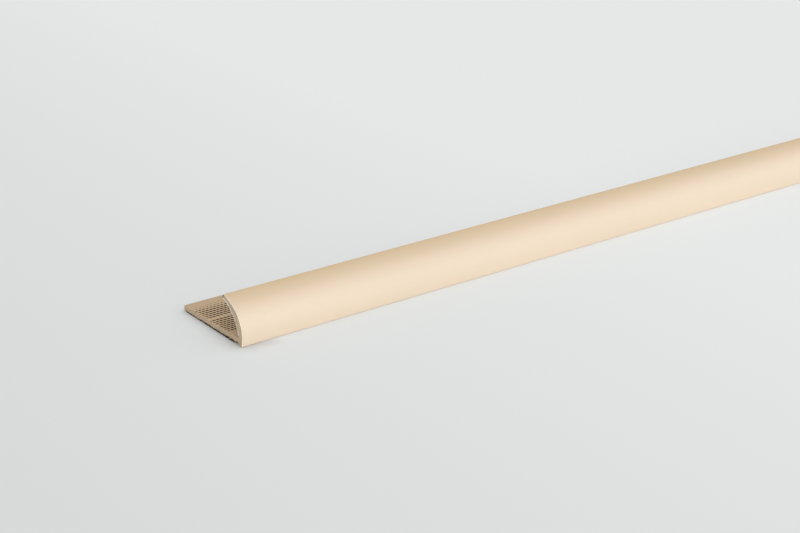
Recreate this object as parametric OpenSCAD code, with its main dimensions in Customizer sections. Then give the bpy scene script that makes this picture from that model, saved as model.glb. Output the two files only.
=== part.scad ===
// PVC edge trim for a tiled corner: a curved face whose lip closes over the
// tile's edge, and a flat flange that beds in the adhesive under the tile.
// One extruded length, lying on its flange and foot with its face towards -Y.
// X runs along the length, Z is up, and the origin is under the middle.

/* [Length] */
// Length of the piece as sold
trim_l = 1000; // [200:10:2700]

/* [Face] */
// Height from the foot to the top of the lip, square to the flange
trim_h = 11.1; // [9.5:0.1:13]
// Outer radius of the curved face
face_r = 7.8; // [6.5:0.1:9]
// Length of the flat above the curve, up to the lip's end
lip_flat_l = 3.3; // [1.5:0.1:4]
// Slope of that flat, from the flange's plane
lip_slope = 26; // [15:1:35]
// Thickness of the wall at the lip's end
lip_t = 1.2; // [0.8:0.1:1.8]
// Thickness of the wall where it stands on the flange
wall_t = 1.6; // [1:0.1:2.2]

/* [Flange] */
// Width from the face's outermost line to the flange's back edge
trim_w = 26.8; // [20:0.1:45]
// Thickness of the flange
flange_t = 1.5; // [1:0.1:2.2]
// Radius in the corner between the flange and the wall
root_r = 0.6; // [0.2:0.1:1.5]

/* [Foot] */
// How far the foot reaches below the flange
foot_drop = 0.42; // [0.1:0.02:1]
// Where the foot's bottom ends, from the face's outermost line
foot_w = 1.4; // [1:0.1:2]
// Height of the groove behind the foot
groove_h = 0.9; // [0.4:0.1:1.2]
// Where the groove is highest, from the face's outermost line
groove_y = 2.4; // [2.1:0.1:3]
// Where the groove runs out into the flange's underside
groove_end = 3.8; // [3.2:0.1:6]

/* [Edges] */
// Radius along the lip's two edges
lip_edge_r = 0.3; // [0.1:0.05:0.4]
// Radius along the foot's inner edge
foot_edge_r = 0.15; // [0.05:0.05:0.2]
// Radius along the upper back edge of the flange
back_top_r = 0.25; // [0.1:0.05:0.5]
// Radius along the lower back edge of the flange
back_low_r = 0.6; // [0.1:0.05:0.8]

/* [Hidden] */
$fn = 96;
// Overlap of cutting shapes past what they cut
over = 1;
cream = "#e3cfb0";

// The section is drawn in Y and Z with the flange level. The face's outermost
// line is at y = 0 and the foot's bottom at z = 0.
function along(a) = [cos(a), sin(a)];
function across(a) = [-sin(a), cos(a)];
function length2(v) = sqrt(v[0] * v[0] + v[1] * v[1]);

// Heights of the flange's two faces
flange_z = foot_drop;
flange_top = foot_drop + flange_t;

// Outer arc, and the flat that carries on from it to the lip
face_c = [face_r, trim_h - lip_flat_l * sin(lip_slope) - face_r * cos(lip_slope)];
flat_start = face_c + face_r * across(lip_slope);
lip_top = flat_start + lip_flat_l * along(lip_slope);
lip_low = lip_top - lip_t * across(lip_slope);
// Where the flat's line meets the face's outermost line
face_corner = face_c - along((lip_slope - 90) / 2) * face_r / sin((lip_slope + 90) / 2);

// Inner arc: upright at the flange's mid-height, and through the lip's lower edge
inner_z = foot_drop + flange_t / 2;
inner_a = lip_low[0] - wall_t;
inner_b = lip_low[1] - inner_z;
inner_r = (inner_a * inner_a + inner_b * inner_b) / (2 * inner_a);
inner_c = [wall_t + inner_r, inner_z];

// Fillet at the root, touching the flange's top and the inner arc
root_z = flange_top + root_r;
root_reach = inner_r - root_r;
root_c = [
    inner_c[0] - sqrt(root_reach * root_reach - pow(root_z - inner_c[1], 2)),
    root_z
];
root_touch = inner_c + (root_c - inner_c) * inner_r / root_reach;

// Centres of the rounded edges that the piece lies on and ends at
foot_rise = atan2(groove_h, groove_y - foot_w);
foot_edge_c = [foot_w - foot_edge_r / tan((180 - foot_rise) / 2), foot_edge_r];
back_low_c = [trim_w - back_low_r, flange_z + back_low_r];
back_top_c = [trim_w - back_top_r, flange_top - back_top_r];

// Tilt at which the foot and the lower back edge both touch the ground
rest_span = back_low_c - foot_edge_c;
rest_tilt = acos((back_low_r - foot_edge_r) / length2(rest_span)) - atan2(rest_span[0], rest_span[1]);

function at_rest(p) = [
    p[0] * cos(rest_tilt) + p[1] * sin(rest_tilt),
    p[1] * cos(rest_tilt) - p[0] * sin(rest_tilt)
];
rest_y0 = at_rest(face_c)[0] - face_r;
rest_y1 = at_rest(back_top_c)[0] + back_top_r;
rest_z0 = at_rest(foot_edge_c)[1] - foot_edge_r;

// What a rounded edge takes off the corner at p, whose sides leave at two angles
module edge_waste(p, from, to, r) {
    half = abs(to - from) / 2;
    centre = p + along((from + to) / 2) * r / sin(half);
    side = r / tan(half);
    difference() {
        polygon([p, p + side * along(from), centre, p + side * along(to)]);
        translate(centre) circle(r = r);
    }
}

// Everything behind the outer face, from the face to the lip's end
module face_side() {
    difference() {
        polygon([[0, 0], [lip_low[0], 0], lip_low, lip_top, face_corner]);
        edge_waste(face_corner, -90, lip_slope, face_r);
        // Below its centre the same arc curls in to the foot
        difference() {
            translate([-over, -over]) square([over + face_r / 2, over + face_c[1]]);
            translate(face_c) circle(r = face_r);
        }
    }
}

// The curved wall between the outer face and the inner arc
module wall() {
    difference() {
        face_side();
        translate(inner_c) circle(r = inner_r);
    }
}

module flange() {
    translate([wall_t / 2, flange_z]) square([trim_w - wall_t / 2, flange_t]);
}

module root_fillet() {
    difference() {
        translate([wall_t / 2, flange_z]) square([root_c[0] - wall_t / 2, root_touch[1] - flange_z]);
        translate(root_c) circle(r = root_r);
    }
}

// The open groove behind the foot
module groove() {
    polygon([
        [foot_w, 0],
        [groove_y, groove_h],
        [groove_end, flange_z],
        [groove_end, -over],
        [foot_w - over * cos(foot_rise), -over * sin(foot_rise)]
    ]);
}

module section() {
    difference() {
        union() {
            wall();
            flange();
            root_fillet();
        }
        groove();
        edge_waste(lip_top, lip_slope + 180, lip_slope + 270, lip_edge_r);
        edge_waste(lip_low, lip_slope + 90, lip_slope + 180, lip_edge_r);
        edge_waste([foot_w, 0], foot_rise, 180, foot_edge_r);
        edge_waste([trim_w, flange_z], 90, 180, back_low_r);
        edge_waste([trim_w, flange_top], 180, 270, back_top_r);
    }
}

module edge_trim() {
    color(cream)
        translate([-trim_l / 2, -(rest_y0 + rest_y1) / 2, -rest_z0])
            rotate([-rest_tilt, 0, 0])
                rotate([90, 0, 90]) linear_extrude(trim_l) section();
}

edge_trim();
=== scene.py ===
# %% [markdown]
# A plastic edge trim for tiles, dressed for its picture.
# The real thing is one extruded length of cream PVC. A curved face closes over
# the edge of a tile, and a flat flange full of small pits beds in the adhesive.
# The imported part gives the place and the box. This lesson builds the surface
# that is seen around it: true arcs, every pit, the sawn ends and the finish.

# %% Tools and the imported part
import math
import random

import bmesh
import bpy
from mathutils import Euler, Matrix, Vector


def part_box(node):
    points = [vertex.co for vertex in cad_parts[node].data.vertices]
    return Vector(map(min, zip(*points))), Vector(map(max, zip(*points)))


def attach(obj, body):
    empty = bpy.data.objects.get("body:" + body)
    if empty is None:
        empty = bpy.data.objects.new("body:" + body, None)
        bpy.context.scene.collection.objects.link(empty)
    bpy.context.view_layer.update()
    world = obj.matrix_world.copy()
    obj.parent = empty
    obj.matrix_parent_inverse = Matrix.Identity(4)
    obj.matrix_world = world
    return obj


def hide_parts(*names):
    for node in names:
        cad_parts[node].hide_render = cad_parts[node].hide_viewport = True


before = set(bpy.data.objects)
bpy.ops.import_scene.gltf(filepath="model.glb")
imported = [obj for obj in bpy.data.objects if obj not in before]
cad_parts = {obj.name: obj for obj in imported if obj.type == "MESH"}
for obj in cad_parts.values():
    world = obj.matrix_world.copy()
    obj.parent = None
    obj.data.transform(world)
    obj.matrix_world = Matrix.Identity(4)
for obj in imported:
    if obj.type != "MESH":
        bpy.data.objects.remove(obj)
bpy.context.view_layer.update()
MM = 0.001
HAIR = 0.0001 * MM
TOUCH = 0.001 * MM
WELD = 0.002 * MM
trim_low, trim_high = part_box("edge_trim")
trim_length = trim_high.x - trim_low.x
print("trim box in mm:", [round(v / MM, 2) for v in trim_high - trim_low])

# %% [markdown]
# The section comes first, because everything else follows it. It could be typed
# in as a long list of points, but a designer thinks of it as two arcs, a flat
# and a few rounded edges. So the sizes are named here, and each arc is spun
# from one vertex round its own centre.

# %% Sizes of the section, in millimetres, with the flange level
FACE_R = 7.8
LIP_FLAT = 3.3
LIP_SLOPE = math.radians(26)
LIP_T = 1.2
WALL_T = 1.6
TRIM_H = 11.1
TRIM_W = 26.8
FLANGE_T = 1.5
FOOT_DROP = 0.42
FOOT_W = 1.4
GROOVE_TOP = (2.4, 0.9)
GROOVE_END = 3.8
ROOT_R = 0.6
FLANGE_TOP = FOOT_DROP + FLANGE_T
FLANGE_CORNERS = (
    (TRIM_W, FLANGE_TOP), (TRIM_W, FOOT_DROP), (GROOVE_END, FOOT_DROP), GROOVE_TOP, (FOOT_W, 0),
)


# %% Directions and corners of the section
def spot(y, z):
    """A point of the section, given in millimetres."""
    return Vector((0, y, z)) * MM


def direction(angle):
    """The unit vector at an angle from the flange's plane."""
    return Vector((0, math.cos(angle), math.sin(angle)))


up_slope = direction(LIP_SLOPE)
off_slope = direction(LIP_SLOPE + math.pi / 2)
face_drop = LIP_FLAT * up_slope.z + FACE_R * off_slope.z
face_centre = spot(FACE_R, TRIM_H - face_drop)
flat_start = face_centre + off_slope * FACE_R * MM
lip_top = flat_start + up_slope * LIP_FLAT * MM
lip_low = lip_top - off_slope * LIP_T * MM

inner_level = spot(0, FOOT_DROP + FLANGE_T / 2)
inner_reach = lip_low - spot(WALL_T, 0) - inner_level
inner_radius = (inner_reach.y ** 2 + inner_reach.z ** 2) / (2 * inner_reach.y)
inner_centre = spot(WALL_T, 0) + inner_level + Vector((0, inner_radius, 0))

root_level = (FLANGE_TOP + ROOT_R) * MM
root_reach = inner_radius - ROOT_R * MM
root_rise = root_level - inner_centre.z
root_centre = Vector((0, inner_centre.y - math.sqrt(root_reach ** 2 - root_rise ** 2), root_level))
foot_corner = Vector((0, face_centre.y - math.sqrt((FACE_R * MM) ** 2 - face_centre.z ** 2), 0))
print("inner radius in mm:", round(inner_radius / MM, 2))

# %% [markdown]
# The outline is drawn as a pen would draw it, from corner to corner. A line is
# one extruded vertex, and an arc is one spun vertex. The sharp corners are then
# bevelled as vertices of the filled face, which leaves true little arcs.

# %% The pen
def line_to(bm, start, place):
    """Draws a straight edge from a vertex and returns the vertex at its end."""
    end = bmesh.ops.extrude_vert_indiv(bm, verts=[start])["verts"][0]
    end.co = place
    return end


def arc_to(bm, start, centre, turn, steps):
    """Spins a vertex round a centre and returns the vertex at the arc's end."""
    made = bmesh.ops.spin(bm, geom=[start], cent=centre, axis=(1, 0, 0), angle=turn, steps=steps)
    return next(item for item in made["geom_last"] if isinstance(item, bmesh.types.BMVert))


def heading(centre, point):
    """The angle at which a point stands from a centre."""
    return math.atan2(point.z - centre.z, point.y - centre.y)


def turn_between(centre, start, end):
    """The turn from one point to another round a centre, the short way."""
    turn = heading(centre, end) - heading(centre, start)
    return (turn + math.pi) % (2 * math.pi) - math.pi


# %% Draw the section
ARC_STEP = math.radians(2.5)
LEAST_STEPS = 4
ROOT_STEPS = 6


def arc_steps(turn):
    """How many straight pieces an arc gets."""
    return max(LEAST_STEPS, round(abs(turn) / ARC_STEP))


def draw_section():
    """Returns a bmesh with the filled section at x = 0."""
    bm = bmesh.new()
    first = bmesh.ops.create_vert(bm, co=foot_corner)["vert"][0]
    turn = turn_between(face_centre, foot_corner, flat_start)
    pen = arc_to(bm, first, face_centre, turn, arc_steps(turn))
    pen = line_to(bm, pen, lip_top)
    pen = line_to(bm, pen, lip_low)
    root_touch = inner_centre + (root_centre - inner_centre) * inner_radius / root_reach
    turn = turn_between(inner_centre, lip_low, root_touch)
    pen = arc_to(bm, pen, inner_centre, turn, arc_steps(turn))
    turn = turn_between(root_centre, root_touch, root_centre - spot(0, ROOT_R))
    pen = arc_to(bm, pen, root_centre, turn, ROOT_STEPS)
    for corner in FLANGE_CORNERS:
        pen = line_to(bm, pen, spot(*corner))
    bmesh.ops.contextual_create(bm, geom=[pen, first])
    bmesh.ops.contextual_create(bm, geom=bm.edges[:])
    return bm


section = draw_section()
print("section: vertices", len(section.verts), "faces", len(section.faces))

# %% [markdown]
# Die makers never leave a knife edge on PVC, so each corner of the section has
# its own small radius. A vertex bevel takes its offset along the edges, so the
# offset is worked out from the radius and the corner's angle.

# %% Round the section's corners
EDGE_STEPS = 5
EDGE_RADII = (
    (lip_top / MM, 0.3),
    (lip_low / MM, 0.3),
    (spot(TRIM_W, FLANGE_TOP) / MM, 0.25),
    (spot(TRIM_W, FOOT_DROP) / MM, 0.6),
    (spot(FOOT_W, 0) / MM, 0.15),
    (spot(*GROOVE_TOP) / MM, 0.2),
    (foot_corner / MM, 0.4),
)


def round_corner(bm, corner, radius):
    """Rounds the section's corner at a place in millimetres."""
    vert = min(bm.verts, key=lambda v: (v.co / MM - corner).length)
    sides = [edge.other_vert(vert).co - vert.co for edge in vert.link_edges]
    offset = radius * MM / math.tan(sides[0].angle(sides[1]) / 2)
    bmesh.ops.bevel(
        bm, geom=[vert], offset=offset, offset_type="OFFSET", affect="VERTICES",
        segments=EDGE_STEPS, profile=0.5, material=-1, clamp_overlap=True,
    )


for place, radius in EDGE_RADII:
    round_corner(section, place, radius)
print("rounded section: vertices", len(section.verts))

# %% [markdown]
# The flange's upper side is embossed with two bands of eight rows of pits, with
# one blank row between them. Each row is shifted against the next by about a
# third of the pitch. Bump would look flat here, because the pits are nearly as
# deep as they are wide, so each is modelled. One cell holds one pit. It is a
# leaning parallelogram, so that the shifted rows still share their corners, and
# its pit leans with it, as the pins of such a roll do.

# %% Sizes of the pit pattern, in millimetres
PITCH = 1.0
ROW_PITCH = 1.04
ROW_SHIFT = 0.366
BAND_ROWS = 8
BACK_MARGIN = 3.25
FIRST_PIT = 0.62
PIT_R = 0.4
PIT_DEPTH = 0.65
PIT_TAPER = 0.88
PIT_SIDES = 8
STRETCH = 200
SHOW, SHADED_BED, PIT, SAWN_SHADED, RIM_HIGHLIGHT, TORN_SHADE = range(6)
PIT_STEP = Vector((PITCH, 0, 0)) * MM
ROW_STEP = Vector((ROW_SHIFT, -ROW_PITCH, 0)) * MM
BACK_ROW_Y = TRIM_W - BACK_MARGIN


# %% One cell of the flange's top
def add_cell(bm, centre, press):
    """Adds a leaning cell round a centre in metres, with a pit pressed in by a share."""
    half_pit, half_row = PIT_STEP / 2, ROW_STEP / 2
    corners = [
        bmesh.ops.create_vert(bm, co=centre + side)["vert"][0]
        for side in (-half_pit - half_row, half_pit - half_row, half_pit + half_row, -half_pit + half_row)
    ]
    sides = [bmesh.ops.contextual_create(bm, geom=[corners[i - 1], corners[i]])["edges"][0] for i in range(4)]
    lean = Matrix((PIT_STEP.normalized(), -ROW_STEP.normalized(), (0, 0, 1))).transposed().to_4x4()
    ring = bmesh.ops.create_circle(
        bm, cap_ends=False, radius=PIT_R * press * MM, segments=PIT_SIDES,
        matrix=Matrix.Translation(centre) @ lean,
    )["verts"]
    mouth = list(dict.fromkeys(edge for vert in ring for edge in vert.link_edges))
    bmesh.ops.triangle_fill(bm, use_beauty=True, use_dissolve=False, edges=sides + mouth)
    wall = bmesh.ops.extrude_edge_only(bm, edges=mouth)["geom"]
    low = [item for item in wall if isinstance(item, bmesh.types.BMVert)]
    bmesh.ops.translate(bm, verts=low, vec=(0, 0, -PIT_DEPTH * press * MM))
    bmesh.ops.scale(bm, verts=low, vec=(PIT_TAPER, PIT_TAPER, 1), space=Matrix.Translation(-centre))
    rim = [
        item for item in wall
        if isinstance(item, bmesh.types.BMEdge) and all(vert in low for vert in item.verts)
    ]
    bottom = bmesh.ops.contextual_create(bm, geom=rim)["faces"]
    for face in bottom + [item for item in wall if isinstance(item, bmesh.types.BMFace)]:
        face.material_index = PIT


# %% [markdown]
# Every row starts as one cell, and doubling does the rest: each doubling copies
# all that is there and moves the copy on along the length. The embosser's roll
# presses less near the flange's back edge, so the first rows there are small
# and shallow. The saw smears the plastic at the ends, so the pits that it
# grazes are squeezed off the cut, and those that it would open are closed.
# Elements that an operator takes in turn are gathered with dict.fromkeys,
# because a set has no fixed order and every run has to give the same mesh.

# %% Double the cells into the pitted bands
FIRST_PRESS = 0.3
PRESS_STEP = 0.25
SPARE_PITS = 3
CUT_MARGIN = 0.17
LEAST_PIT = 0.28


def row_press(row):
    """How fully a row's pits are pressed in, counted from the back edge."""
    return min(1, FIRST_PRESS + PRESS_STEP * row)


def on_top(item):
    """True where all of an edge's or face's vertices lie on the flange's upper side."""
    return all(abs(vert.co.z - FLANGE_TOP * MM) < TOUCH for vert in item.verts)


def double(bm, step, times):
    """Doubles all that a mesh holds, a number of times."""
    for _ in range(times):
        copy = bmesh.ops.duplicate(bm, geom=bm.verts[:] + bm.edges[:] + bm.faces[:])["geom"]
        moved = [item for item in copy if isinstance(item, bmesh.types.BMVert)]
        bmesh.ops.translate(bm, verts=moved, vec=step)
        step = step * 2


def smear_pits(bm, x, way):
    """Squeezes or closes the pits that a cut at x would touch; the trim lies the given way from it."""
    floors = [
        face for face in bm.faces
        if face.material_index == PIT and len(face.verts) == PIT_SIDES
        and abs(face.calc_center_median().x - x) < 2 * PIT_R * MM
    ]
    for pit_floor in floors:
        around = dict.fromkeys(face for edge in pit_floor.edges for face in edge.link_faces)
        walls = [face for face in around if face != pit_floor]
        verts = list(dict.fromkeys(vert for wall in walls for vert in wall.verts))
        reaches = [way * (vert.co.x - x) for vert in verts]
        near, far = min(reaches), max(reaches)
        limit = CUT_MARGIN * MM
        if far < limit + LEAST_PIT * MM:
            mouth = [edge for wall in walls for edge in wall.edges if on_top(edge)]
            bmesh.ops.delete(bm, geom=walls + [pit_floor], context="FACES")
            bmesh.ops.contextual_create(bm, geom=mouth)
        elif near < limit:
            for vert in verts:
                share = (way * (vert.co.x - x) - near) / (far - near)
                vert.co.x = x + way * (limit + share * (far - limit))


def pit_bands(cuts):
    """Returns a bmesh with both bands, smeared at each cut, given as its x and way."""
    bm = bmesh.new()
    for row in range(2 * BAND_ROWS + 1):
        if row != BAND_ROWS:
            start = FIRST_PIT + (row * ROW_SHIFT) % PITCH - SPARE_PITS * PITCH
            add_cell(bm, Vector((start, BACK_ROW_Y - row * ROW_PITCH, FLANGE_TOP)) * MM, row_press(row))
    double(bm, PIT_STEP, math.ceil(math.log2(STRETCH / PITCH + SPARE_PITS + 1)))
    bmesh.ops.remove_doubles(bm, verts=bm.verts[:], dist=WELD)
    for x, way in cuts:
        smear_pits(bm, x, way)
    for place, way in ((0, -1), (STRETCH * MM, 1)):
        bmesh.ops.bisect_plane(
            bm, geom=bm.verts[:] + bm.edges[:] + bm.faces[:], dist=HAIR,
            plane_co=(place, 0, 0), plane_no=(way, 0, 0), clear_outer=True,
        )
    return bm


# %% [markdown]
# One stretch of trim is the section's outline extruded along the length, with
# its top panel left out and the bands let in. Each flat strip beside and between
# the bands is closed by one face, and a cap at each end makes the stretch a
# closed solid. The whole metre is five such stretches end to end, because all
# the pits in one mesh would be more than a mesh should hold.

# %% Build one stretch
SKIN = 0.1


def in_plane(item, x):
    """True where all of an edge's or face's vertices lie in the section's plane at x."""
    return all(abs(vert.co.x - x) < TOUCH for vert in item.verts)


def open_line(bm, y):
    """The open edges of the flange's top that run along the length at y."""
    place = spot(y, FLANGE_TOP)
    return [
        edge for edge in bm.edges
        if edge.is_boundary and all(
            abs(vert.co.y - place.y) < WELD and abs(vert.co.z - place.z) < WELD for vert in edge.verts
        )
    ]


def close_strip(bm, front_y, back_y):
    """Closes a flat strip of the flange's top with one face."""
    front = open_line(bm, front_y)
    back = open_line(bm, back_y)
    ends = []
    for x in (0, STRETCH * MM):
        pair = [
            next(vert for edge in line for vert in edge.verts if abs(vert.co.x - x) < TOUCH)
            for line in (front, back)
        ]
        ends += bmesh.ops.contextual_create(bm, geom=pair)["edges"]
    bmesh.ops.contextual_create(bm, geom=front + back + ends)


def is_outside(face):
    """True for a face of the curved side that stays in sight."""
    place = face.calc_center_median() - face_centre
    reach = Vector((place.y, place.z)).length
    return reach > (FACE_R - SKIN) * MM and place.y < lip_low.y - face_centre.y


def build_stretch(cuts=()):
    """Returns a bmesh of one closed stretch, with the flange level."""
    bm = section.copy()
    cap = bm.faces[:]
    skin = bmesh.ops.extrude_edge_only(bm, edges=bm.edges[:])["geom"]
    moved = [item for item in skin if isinstance(item, bmesh.types.BMVert)]
    bmesh.ops.translate(bm, verts=moved, vec=(STRETCH * MM, 0, 0))
    bmesh.ops.delete(bm, geom=cap, context="FACES_ONLY")
    panel = max((face for face in bm.faces if on_top(face)), key=lambda face: face.calc_area())
    cross = [edge for edge in panel.edges if in_plane(edge, 0) or in_plane(edge, STRETCH * MM)]
    sides = sorted(vert.co.y / MM for vert in panel.verts)
    bmesh.ops.delete(bm, geom=[panel], context="FACES_ONLY")
    bmesh.ops.delete(bm, geom=cross, context="EDGES")
    bands = pit_bands(cuts)
    band_mesh = bpy.data.meshes.new("bands")
    bands.to_mesh(band_mesh)
    bands.free()
    bm.from_mesh(band_mesh)
    bpy.data.meshes.remove(band_mesh)
    back = BACK_ROW_Y + ROW_PITCH / 2
    middle = back - BAND_ROWS * ROW_PITCH
    front = middle - (BAND_ROWS + 1) * ROW_PITCH
    for strip in ((sides[0], front), (middle - ROW_PITCH, middle), (back, sides[-1])):
        close_strip(bm, *strip)
    for x in (0, STRETCH * MM):
        open_end = [edge for edge in bm.edges if edge.is_boundary and in_plane(edge, x)]
        bmesh.ops.contextual_create(bm, geom=open_end)
    bmesh.ops.recalc_face_normals(bm, faces=bm.faces[:])
    # Faces out of sight behind and under the face take the bed colour, which is painted shade.
    for face in bm.faces:
        if face.material_index != PIT and not is_outside(face):
            face.material_index = SHADED_BED
    return bm


near_stretch = build_stretch(cuts=((0, 1),))
middle_stretch = build_stretch()
far_stretch = build_stretch(cuts=((STRETCH * MM, -1),))
for bm in (near_stretch, middle_stretch, far_stretch):
    open_edges = sum(1 for edge in bm.edges if not edge.is_manifold)
    print("stretch: faces", len(bm.faces), "open edges", open_edges)

# %% [markdown]
# At rest the trim lies on its foot and its back edge, so the flange leans by
# about a degree. The tilt follows from the two rounded edges that touch the
# ground. After it the section is centred across, set on the ground and moved to
# the imported part's near end.

# %% Lay the stretches down
FOOT_EDGE_R = 0.15
BACK_EDGE_R = 0.6
foot_rise = math.atan2(GROOVE_TOP[1], GROOVE_TOP[0] - FOOT_W)
touch_front = spot(FOOT_W - FOOT_EDGE_R / math.tan((math.pi - foot_rise) / 2), FOOT_EDGE_R)
touch_back = spot(TRIM_W - BACK_EDGE_R, FOOT_DROP + BACK_EDGE_R)
span = touch_back - touch_front
rest_tilt = math.acos((BACK_EDGE_R - FOOT_EDGE_R) * MM / span.length) - math.atan2(span.y, span.z)
print("rest tilt in degrees:", round(math.degrees(rest_tilt), 3))

rest_turn = Matrix.Rotation(-rest_tilt, 4, "X")
turned = [rest_turn @ vert.co for vert in section.verts]
middle_y = (min(place.y for place in turned) + max(place.y for place in turned)) / 2
lowest_z = min(place.z for place in turned)
to_rest = Matrix.Translation((trim_low.x, -middle_y, -lowest_z)) @ rest_turn

# %% [markdown]
# A saw leaves more than a flat face. The cut face lies a little behind the torn
# fringe, and its darker tone is partly its own and partly painted shade. Its edge
# is worn to a narrow bevel, painted pale along the face as a highlight. Under the
# flange the blade broke the edge away in a ragged line, painted near-black as the
# shade in the gap above the floor, and the lip's end is painted near-black as
# shade too. The heights of the break are drawn in the order of each face's own
# vertices, so every run breaks it alike.

# %% Saw the two ends
CUT_BACK = 0.06
BEVEL = 0.1
BREAK_STEP = 0.4
BREAK_HEIGHT = (0.08, 0.36)
LIP_SHADE_REACH = 0.45
chance = random.Random(5)


def under_flange(vert):
    """True on the flat underside of the flange, behind the groove."""
    return abs(vert.co.z - FOOT_DROP * MM) < TOUCH and vert.co.y > (GROOVE_END - SKIN) * MM


def saw_end(bm, x, way):
    """Sets a cap back along the length, bevels its edge and breaks its underside."""
    long_edge = max(
        (edge for edge in bm.edges if in_plane(edge, x) and all(under_flange(v) for v in edge.verts)),
        key=lambda edge: edge.calc_length(),
    )
    cuts = round(long_edge.calc_length() / (BREAK_STEP * MM))
    bmesh.ops.subdivide_edges(bm, edges=[long_edge], cuts=cuts)
    cap = max((face for face in bm.faces if in_plane(face, x)), key=lambda face: face.calc_area())
    bmesh.ops.translate(bm, verts=cap.verts[:], vec=(way * CUT_BACK * MM, 0, 0))
    ring = bmesh.ops.inset_region(bm, faces=[cap], thickness=BEVEL * MM, use_even_offset=True)["faces"]
    inner = set(cap.verts)
    outline = list({vert for face in ring for vert in face.verts} - inner)
    bmesh.ops.translate(bm, verts=outline, vec=(way * BEVEL * MM, 0, 0))
    cap.material_index = SAWN_SHADED
    for face in ring:
        broken = sum(1 for vert in face.verts if under_flange(vert)) == 2
        lip_gap = face.calc_center_median() - (lip_top + lip_low) / 2
        lip_shaded = Vector((lip_gap.y, lip_gap.z)).length < LIP_SHADE_REACH * MM
        # The broken under-edge and the lip's end are painted near-black as shade; the outer bevel is painted
        # pale as a highlight.
        if broken or lip_shaded:
            face.material_index = TORN_SHADE
        else:
            face.material_index = RIM_HIGHLIGHT if is_outside(face) else SAWN_SHADED
        if broken:
            for vert in face.verts:
                if vert in inner:
                    inner.discard(vert)
                    vert.co.z += chance.uniform(*BREAK_HEIGHT) * MM


saw_end(near_stretch, 0, 1)
saw_end(far_stretch, STRETCH * MM, -1)
for bm in (near_stretch, middle_stretch, far_stretch):
    bm.transform(to_rest)

# %% [markdown]
# The blade also pulls a fringe of pale flakes out of the plastic. It is thickest
# along the wall's inner edge and thin along the flange. Near-black crumbs along
# the lip's end and in the gap under the flange are painted shade, dark things set
# where those places fall in shade. Each flake is a small cone, laid any way it
# falls, and none reaches past the length of the trim.

# %% The torn fringe
FLAKE_STEP = 0.1
FLAKE_SIDES = 5
FLAKE_WAIST = 0.3
FLAKE_END = 0.01
WALL_FLAKE = (0.18, 0.4)
WALL_SINK = (-0.02, 0.08)
LIP_SHADE_CRUMB = (0.2, 0.34)
LIP_SHADE_CRUMBS = 14
LIP_SPAN = (0.25, 0.9)
LIP_SINK = 0.1
GAP_SHADE_CRUMB = (0.2, 0.4)
GAP_SHADE_CRUMBS = 240
GAP_SHADE_BACK = 0.2
GAP_SHADE_LIFT = 0.05
GAP_SHADE_STOP = 1
FLANGE_FLAKE = (0.05, 0.16)
FLANGE_FLAKES = 90
FLANGE_STOP = 0.4


def add_flake(bm, place, size, slot=0):
    """Adds one flake of a size in millimetres, turned by chance."""
    turn = Euler([chance.uniform(0, math.tau) for _ in range(3)]).to_matrix().to_4x4()
    cone = bmesh.ops.create_cone(
        bm, cap_ends=True, segments=FLAKE_SIDES, radius1=FLAKE_WAIST * size * MM, radius2=0,
        depth=size * MM, matrix=Matrix.Translation(place) @ turn,
    )["verts"]
    for face in {face for vert in cone for face in vert.link_faces}:
        face.material_index = slot


def fringe():
    """Returns a bmesh with the flakes of a cut at x = 0."""
    bm = bmesh.new()
    start = heading(inner_centre, lip_low)
    turn = turn_between(inner_centre, lip_low, root_centre)
    count = round(inner_radius * abs(turn) / (FLAKE_STEP * MM))
    for number in range(count):
        angle = start + turn * (number + chance.random()) / count
        place = inner_centre + direction(angle) * (inner_radius - chance.uniform(*WALL_SINK) * MM)
        add_flake(bm, place + Vector((CUT_BACK * MM, 0, 0)), chance.uniform(*WALL_FLAKE))
    # The crumbs in slot 1 are near-black, painted shade at the lip's end and in the gap under the flange.
    for number in range(LIP_SHADE_CRUMBS):
        share = LIP_SPAN[0] + LIP_SPAN[1] * number / LIP_SHADE_CRUMBS
        place = lip_top.lerp(lip_low, share) - up_slope * LIP_SINK * MM
        add_flake(bm, place + Vector((CUT_BACK * MM, 0, 0)), chance.uniform(*LIP_SHADE_CRUMB), slot=1)
    for number in range(GAP_SHADE_CRUMBS):
        y = GROOVE_END + (TRIM_W - GROOVE_END - GAP_SHADE_STOP) * (number + chance.random()) / GAP_SHADE_CRUMBS
        ground = FOOT_DROP * y / TRIM_W
        place = spot(y, chance.uniform(ground + GAP_SHADE_LIFT, FOOT_DROP + GAP_SHADE_LIFT))
        add_flake(bm, place + Vector((GAP_SHADE_BACK * MM, 0, 0)), chance.uniform(*GAP_SHADE_CRUMB), slot=1)
    for level in (FLANGE_TOP, FOOT_DROP + 0.1):
        for _ in range(FLANGE_FLAKES):
            place = spot(chance.uniform(GROOVE_END, TRIM_W - FLANGE_STOP), level)
            add_flake(bm, place + Vector(((CUT_BACK + BEVEL) * MM, 0, 0)), chance.uniform(*FLANGE_FLAKE))
    for vert in bm.verts:
        vert.co.x = max(vert.co.x, FLAKE_END * MM)
    return bm


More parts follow.
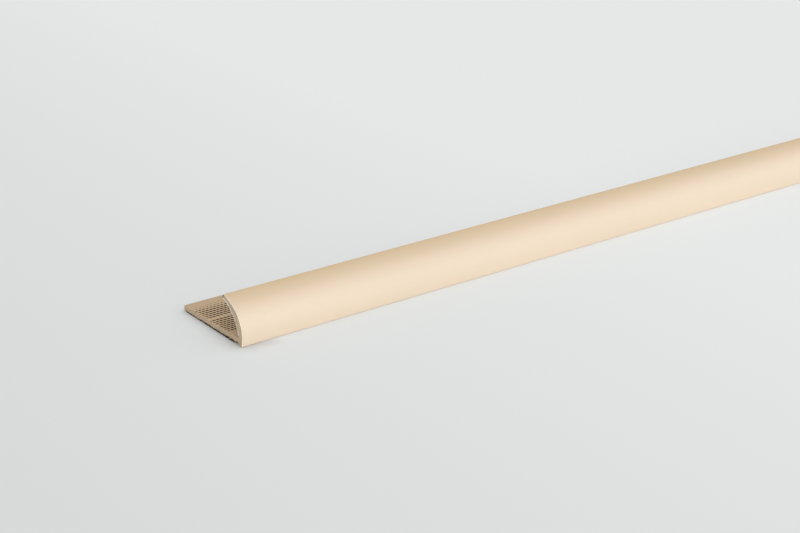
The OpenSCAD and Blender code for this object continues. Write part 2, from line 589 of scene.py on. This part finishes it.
# %% Set the fringes
fringes = []
for name, turn, place in (("near", 1, trim_low.x), ("far", -1, trim_high.x)):
    bm = fringe()
    bmesh.ops.scale(bm, verts=bm.verts[:], vec=(turn, 1, 1))
    bm.transform(Matrix.Translation((place - trim_low.x, 0, 0)) @ to_rest)
    for vert in bm.verts:
        vert.co.z = max(0, min(vert.co.z, trim_high.z))
    bmesh.ops.recalc_face_normals(bm, faces=bm.faces[:])
    mesh = bpy.data.meshes.new(f"saw_fringe_{name}")
    bm.to_mesh(mesh)
    bm.free()
    piece = bpy.data.objects.new(mesh.name, mesh)
    bpy.context.collection.objects.link(piece)
    fringes.append(piece)
print("fringes: triangles each:", [sum(len(f.vertices) - 2 for f in p.data.polygons) for p in fringes])

# %% [markdown]
# The near and far stretches differ from the others only at their sawn ends, so
# three meshes make the whole metre. Each copy gets its place in its mesh, and
# its object stays at the origin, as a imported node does.

# %% Set the stretches end to end
stretches = []
STRETCHES = round(trim_length / (STRETCH * MM))
for number in range(STRETCHES):
    mesh = bpy.data.meshes.new(f"trim_stretch_{number + 1}")
    shape = {0: near_stretch, STRETCHES - 1: far_stretch}.get(number, middle_stretch)
    shape.to_mesh(mesh)
    mesh.transform(Matrix.Translation((number * STRETCH * MM, 0, 0)))
    piece = bpy.data.objects.new(mesh.name, mesh)
    bpy.context.collection.objects.link(piece)
    stretches.append(piece)
triangles = [sum(len(face.vertices) - 2 for face in piece.data.polygons) for piece in stretches]
print("stretches:", len(stretches), "triangles each:", triangles)

# %% [markdown]
# The plastic is a warm cream with a satin skin. The side that stays in sight is
# smoother than the side that beds in the adhesive, and the bed side is painted
# darker and browner as shade behind and under the curved wall. Towards the lip
# the face is painted tan as shade of its upper faces. Two effects are shared by
# several materials, so each is a node group of its own: the die's fine lines
# along the length with faint clouds in the colour, and the grain that a saw
# leaves. Both use object coordinates, so they stay on the plastic when the part
# moves.

# %% Helpers for materials
def add_node(tree, kind, **settings):
    """Adds a node to a tree, with some of its settings."""
    made = tree.nodes.new(kind)
    for name, value in settings.items():
        setattr(made, name, value)
    return made


def new_group(name, inputs, outputs):
    """An empty node group with its sockets, and its two end nodes."""
    group = bpy.data.node_groups.new(name, "ShaderNodeTree")
    for side, sockets in (("INPUT", inputs), ("OUTPUT", outputs)):
        for socket, kind in sockets:
            group.interface.new_socket(name=socket, in_out=side, socket_type="NodeSocket" + kind)
    return group, add_node(group, "NodeGroupInput"), add_node(group, "NodeGroupOutput")


def stretched_noise(tree, scale, detail):
    """Noise in object coordinates, with a scale of its own for each axis."""
    place = add_node(tree, "ShaderNodeTexCoord")
    mapping = add_node(tree, "ShaderNodeMapping")
    mapping.inputs["Scale"].default_value = scale
    noise = add_node(tree, "ShaderNodeTexNoise")
    noise.inputs["Scale"].default_value = 1
    noise.inputs["Detail"].default_value = detail
    tree.links.new(place.outputs["Object"], mapping.inputs["Vector"])
    tree.links.new(mapping.outputs["Vector"], noise.inputs["Vector"])
    return noise.outputs["Fac"]


def ranged(tree, value, low, high, start=0, end=1):
    """Maps a value onto a range, held at both ends."""
    span = add_node(tree, "ShaderNodeMapRange")
    span.inputs["From Min"].default_value = start
    span.inputs["From Max"].default_value = end
    span.inputs["To Min"].default_value = low
    span.inputs["To Max"].default_value = high
    tree.links.new(value, span.inputs["Value"])
    return span.outputs["Result"]


def object_axis(tree, axis):
    """One object coordinate, in metres."""
    place = add_node(tree, "ShaderNodeTexCoord")
    parts = add_node(tree, "ShaderNodeSeparateXYZ")
    tree.links.new(place.outputs["Object"], parts.inputs["Vector"])
    return parts.outputs[axis]


# %% The two shared effects
MIDDLE_NOISE = {"start": 0.3, "end": 0.7}


def surface_group(name, line_scale, line_detail, cloud_scale, shade_span):
    """A group that adds fine relief to a surface and faint clouds to its colour."""
    group, inside, outside = new_group(
        name,
        (("Color", "Color"), ("Roughness", "Float"), ("Relief", "Float")),
        (("Color", "Color"), ("Roughness", "Float"), ("Normal", "Vector")),
    )
    lines = stretched_noise(group, line_scale, line_detail)
    clouds = stretched_noise(group, cloud_scale, 3)
    shade = add_node(group, "ShaderNodeMixRGB", blend_type="MULTIPLY")
    shade.inputs["Fac"].default_value = 1
    bump = add_node(group, "ShaderNodeBump")
    rough = add_node(group, "ShaderNodeMath", operation="MULTIPLY")
    group.links.new(inside.outputs["Color"], shade.inputs["Color1"])
    group.links.new(ranged(group, clouds, *shade_span, **MIDDLE_NOISE), shade.inputs["Color2"])
    group.links.new(lines, bump.inputs["Height"])
    group.links.new(inside.outputs["Relief"], bump.inputs["Distance"])
    group.links.new(inside.outputs["Roughness"], rough.inputs[0])
    group.links.new(ranged(group, clouds, 1.12, 0.9, **MIDDLE_NOISE), rough.inputs[1])
    group.links.new(shade.outputs["Color"], outside.inputs["Color"])
    group.links.new(rough.outputs["Value"], outside.inputs["Roughness"])
    group.links.new(bump.outputs["Normal"], outside.inputs["Normal"])
    return group


die_lines = surface_group("die_lines", (12, 1400, 1400), 2, (14, 90, 90), (0.975, 1.015))
saw_grain = surface_group("saw_grain", (900, 3200, 700), 3, (500, 700, 260), (0.88, 1.08))


# %% [markdown]
# Each finish is one Principled material that takes its colour, roughness and
# normal from a shared effect. The face turns tan with height, which is painted
# shade on its upper faces, so its colour is a blend along Z. The pits are painted
# dark as shade in the hollows, and the light that comes through the sawn end is
# painted as a warmer colour on the last few, so their colour is a blend along the
# length.

# %% Materials
SLOWNESS = 2


def plain_material(name, colour, roughness):
    """A Principled material with its own name."""
    material = bpy.data.materials.new(name)
    material.use_nodes = True
    shader = material.node_tree.nodes["Principled BSDF"]
    shader.inputs["Base Color"].default_value = (*colour, 1)
    shader.inputs["Roughness"].default_value = roughness
    return material


def worked_material(name, colour, roughness, group, relief, specular):
    """A plain material whose colour, roughness and normal go through a group."""
    material = plain_material(name, colour, roughness)
    tree = material.node_tree
    shader = tree.nodes["Principled BSDF"]
    shader.inputs["Specular IOR Level"].default_value = specular
    effect = add_node(tree, "ShaderNodeGroup", node_tree=group)
    effect.inputs["Color"].default_value = (*colour, 1)
    effect.inputs["Roughness"].default_value = roughness
    effect.inputs["Relief"].default_value = relief * MM
    tree.links.new(effect.outputs["Color"], shader.inputs["Base Color"])
    tree.links.new(effect.outputs["Roughness"], shader.inputs["Roughness"])
    tree.links.new(effect.outputs["Normal"], shader.inputs["Normal"])
    return material, effect


def blend_along(material, effect, value, start, end, first, second):
    """Blends an effect's colour from one to another, slowly at first, as a value grows."""
    tree = material.node_tree
    blend = add_node(tree, "ShaderNodeMixRGB")
    blend.inputs["Color1"].default_value = (*first, 1)
    blend.inputs["Color2"].default_value = (*second, 1)
    slow = add_node(tree, "ShaderNodeMath", operation="POWER")
    slow.inputs[1].default_value = SLOWNESS
    tree.links.new(ranged(tree, value, 0, 1, start=start, end=end), slow.inputs[0])
    tree.links.new(slow.outputs["Value"], blend.inputs["Fac"])
    tree.links.new(blend.outputs["Color"], effect.inputs["Color"])


CREAM = (0.75, 0.612, 0.463)
# The tan towards the top of the face is painted shade of the upper faces, which get less light.
TOP_SHADE_TAN = (0.6, 0.43, 0.235)
TOP_SHADE_FROM = 6.0 * MM
TOP_SHADE_TO = 11.2 * MM
show_pvc, show_effect = worked_material("show_pvc", CREAM, 0.5, die_lines, 0.003, 0.9)
blend_along(
    show_pvc, show_effect, object_axis(show_pvc.node_tree, "Z"),
    TOP_SHADE_FROM, TOP_SHADE_TO, CREAM, TOP_SHADE_TAN,
)
# The bed side's darker, browner colour is painted shade behind and under the curved wall.
shaded_bed_pvc, _ = worked_material("shaded_bed_pvc", (0.57, 0.41, 0.25), 0.55, die_lines, 0.006, 0.5)
# The sawn end is darker than the cream partly through its own cut surface and partly as painted shade of an
# end turned from the lamps.
sawn_shaded, _ = worked_material("sawn_shaded_pvc", (0.555, 0.42, 0.283), 0.75, saw_grain, 0.05, 0.3)
# The pale rim on the outer bevel is a painted highlight along the cut edge.
rim, _ = worked_material("rim_highlight", (0.95, 0.88, 0.74), 0.4, saw_grain, 0.02, 0.7)
# This near-black, used on the broken under-edge, the lip's end and the dark crumbs, is painted shade.
torn_shade, _ = worked_material("torn_edge_shade", (0.06, 0.042, 0.026), 0.8, saw_grain, 0.05, 0.2)
flake = plain_material("pale_flake", (1, 0.98, 0.93), 0.6)

# The pits' dark brown is painted shade in the hollows; the warmer colour near each sawn end is painted light
# that comes through the cut.
PIT_SHADE = (0.17, 0.105, 0.055)
PIT_GLOW = (0.42, 0.26, 0.14)
GLOW_FROM = trim_high.x - 2.5 * MM
GLOW_TO = trim_high.x - 0.4 * MM
pit_shade_pvc, pit_shade_effect = worked_material("pit_shade_pvc", PIT_SHADE, 0.7, saw_grain, 0.01, 0.2)
tree = pit_shade_pvc.node_tree
from_middle = add_node(tree, "ShaderNodeMath", operation="ABSOLUTE")
tree.links.new(object_axis(tree, "X"), from_middle.inputs[0])
blend_along(
    pit_shade_pvc, pit_shade_effect, from_middle.outputs["Value"],
    GLOW_FROM, GLOW_TO, PIT_SHADE, PIT_GLOW,
)
print("materials:", [material.name for material in bpy.data.materials])

# %% [markdown]
# Arcs should shade smooth and corners should not, so the edges past an angle
# between the two are marked sharp. Every piece rides on the one body, and
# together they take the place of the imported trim.

# %% Dress the pieces and hand them over
SHARP = math.radians(28)
for piece in stretches:
    for material in (show_pvc, shaded_bed_pvc, pit_shade_pvc, sawn_shaded, rim, torn_shade):
        piece.data.materials.append(material)
    piece.data.shade_smooth()
    piece.data.set_sharp_from_angle(angle=SHARP)
for piece in fringes:
    for material in (flake, torn_shade):
        piece.data.materials.append(material)
for piece in stretches + fringes:
    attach(piece, "root")
    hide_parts("edge_trim")

# %% [markdown]
# The photo was taken with a long lens from above the near end. The place and
# turn come from fitting the trim's two long edges and its end to their lines in
# the picture. The last small turn is the camera's own roll.

# %% Camera
ROLL = -0.0016
camera_data = bpy.data.cameras.new("camera")
camera = bpy.data.objects.new("camera", camera_data)
bpy.context.collection.objects.link(camera)
camera.location = Vector((-666.85, -298.12, 152.68)) * MM
level_view = Euler((math.radians(67.987), 0, math.radians(-36.588)), "XYZ").to_matrix()
camera.rotation_euler = (level_view @ Matrix.Rotation(ROLL, 3, "Z")).to_euler()
camera_data.sensor_width = 36
camera_data.lens = 71.67
camera_data.clip_start = 0.01
bpy.context.scene.camera = camera
print("camera place in mm:", [round(v / MM, 1) for v in camera.location])

# %% [markdown]
# The trim lies on pale paper. Half of the paper's white is its own glow, seen by
# the camera and in reflections, so it is even without more lamps, and the other
# half takes the shadow. The paper's colour is painted dimmer towards the left, a
# painted fall of light across the floor. Past the sawn end the glow fades where
# the paper is hemmed in, a painted contact shadow, which gives the dark line of
# contact under the cut.

# %% Floor
FLOOR_REACH = 6
FLOOR_GLOW = 0.75
CONTACT = 4 * MM
PAPER_DIM = (0.835, 0.85, 0.845, 1)
PAPER_LIT = (0.965, 0.988, 0.982, 1)
floor_mesh = bpy.data.meshes.new("floor")
bm = bmesh.new()
bmesh.ops.create_grid(bm, x_segments=1, y_segments=1, size=FLOOR_REACH)
bm.to_mesh(floor_mesh)
bm.free()
floor = bpy.data.objects.new("floor", floor_mesh)
bpy.context.collection.objects.link(floor)
floor_material = plain_material("pale_floor", (0.9, 0.9, 0.9), 0.9)
tree = floor_material.node_tree
shader = tree.nodes["Principled BSDF"]
shader.inputs["Specular IOR Level"].default_value = 0.1
paper = add_node(tree, "ShaderNodeMixRGB")
paper.inputs["Color1"].default_value = PAPER_DIM
paper.inputs["Color2"].default_value = PAPER_LIT
glow = add_node(tree, "ShaderNodeEmission")
corner = add_node(tree, "ShaderNodeAmbientOcclusion")
corner.inputs["Distance"].default_value = CONTACT
lit = add_node(tree, "ShaderNodeMath", operation="MAXIMUM")
rays = add_node(tree, "ShaderNodeLightPath")
half_seen = add_node(tree, "ShaderNodeMath", operation="MULTIPLY")
half_seen.inputs[1].default_value = 0.5
seen = add_node(tree, "ShaderNodeMixShader")
# The paper is painted dimmer towards the left, a painted fall of light.
tree.links.new(ranged(tree, object_axis(tree, "X"), 0, 1, start=-0.57, end=-0.36), paper.inputs["Fac"])
tree.links.new(paper.outputs["Color"], shader.inputs["Base Color"])
tree.links.new(paper.outputs["Color"], glow.inputs["Color"])
# The glow fades with occlusion past the sawn end, a painted contact shadow.
along = ranged(tree, object_axis(tree, "X"), 0, 1, start=-0.5, end=-0.49)
tree.links.new(along, lit.inputs[0])
tree.links.new(corner.outputs["AO"], lit.inputs[1])
tree.links.new(ranged(tree, lit.outputs["Value"], 0, FLOOR_GLOW), glow.inputs["Strength"])
seen_by = rays.outputs["Is Camera Ray"]
for kind in ("Is Glossy Ray", "Is Transmission Ray"):
    either = add_node(tree, "ShaderNodeMath", operation="MAXIMUM")
    tree.links.new(seen_by, either.inputs[0])
    tree.links.new(rays.outputs[kind], either.inputs[1])
    seen_by = either.outputs["Value"]
tree.links.new(seen_by, half_seen.inputs[0])
tree.links.new(half_seen.outputs["Value"], seen.inputs["Fac"])
tree.links.new(shader.outputs["BSDF"], seen.inputs[1])
tree.links.new(glow.outputs["Emission"], seen.inputs[2])
tree.links.new(seen.outputs["Shader"], tree.nodes["Material Output"].inputs["Surface"])
floor_mesh.materials.append(floor_material)

# %% [markdown]
# The world is a white studio, brighter towards the front and above. Two large
# area lamps stand in front: one fills the face, and a low one lights its foot.

# %% World and lamps
LEVELS = (0.25, 1.25)
world = bpy.data.worlds.new("studio")
bpy.context.scene.world = world
world.use_nodes = True
tree = world.node_tree
background = tree.nodes["Background"]
where = add_node(tree, "ShaderNodeTexCoord")
toward = add_node(tree, "ShaderNodeVectorMath", operation="DOT_PRODUCT")
toward.inputs[1].default_value = Vector((0.25, -0.88, 0.35)).normalized()
tree.links.new(where.outputs["Generated"], toward.inputs[0])
level = ranged(tree, toward.outputs["Value"], *LEVELS, start=-1, end=1)
tree.links.new(level, background.inputs["Strength"])
background.inputs["Color"].default_value = (1, 1, 1, 1)


def soft_light(name, place, target, size, power):
    """An area lamp at a place in metres, turned to a target."""
    data = bpy.data.lights.new(name, "AREA")
    data.shape = "RECTANGLE"
    data.size, data.size_y = size
    data.energy = power
    lamp = bpy.data.objects.new(name, data)
    lamp.location = place
    lamp.rotation_euler = (Vector(target) - Vector(place)).to_track_quat("-Z", "Y").to_euler()
    bpy.context.collection.objects.link(lamp)


soft_light("front_light", (-0.4, -2.1, 0.9), (-0.4, 0, 0), (2.2, 0.9), 3.5)
soft_light("low_light", (-0.6, -1.5, 0.1), (-0.5, 0, 0.02), (2, 0.16), 3)

# %% Look and finish
bpy.context.scene.view_settings.view_transform = "Standard"
